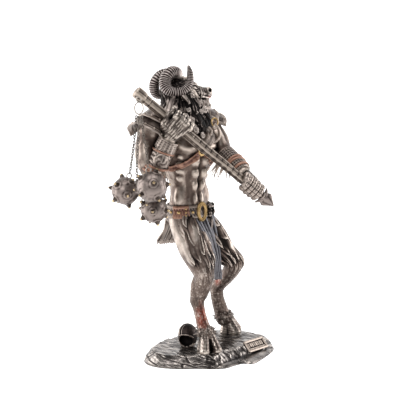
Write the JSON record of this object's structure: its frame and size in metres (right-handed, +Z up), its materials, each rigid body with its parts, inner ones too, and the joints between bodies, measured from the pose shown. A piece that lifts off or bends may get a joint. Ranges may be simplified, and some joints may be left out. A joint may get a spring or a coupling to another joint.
{
  "type": "minotaur statue",
  "caption": "Cold-cast bronze figurine of a horned minotaur that stands on a rock base and holds a flail with chained spiked balls across its chest.",
  "frame": {"origin": "on the flat underside of the rock base, under its middle", "axes": "+Z up, -Y towards the viewer of the picture, +X to the viewer's right"},
  "size_m": [0.161, 0.1352, 0.285],
  "materials": {
    "bronze": "antique cold-cast bronze, dark in the hollows and rubbed pale on the high spots",
    "rock": "dark slate-coloured cold-cast bronze, glossy",
    "shaft": "pale brown cold-cast bronze",
    "steel": "dark worn steel"
  },
  "bodies": {
    "root": {"rock_base": "rock", "minotaur": "bronze", "flail_shaft": "shaft", "flail_ring": "steel", "chain_left": "steel", "chain_upper": "steel", "chain_lower": "steel", "ball_left": "steel", "ball_upper": "steel", "ball_lower": "steel"}
  },
  "joints": []
}
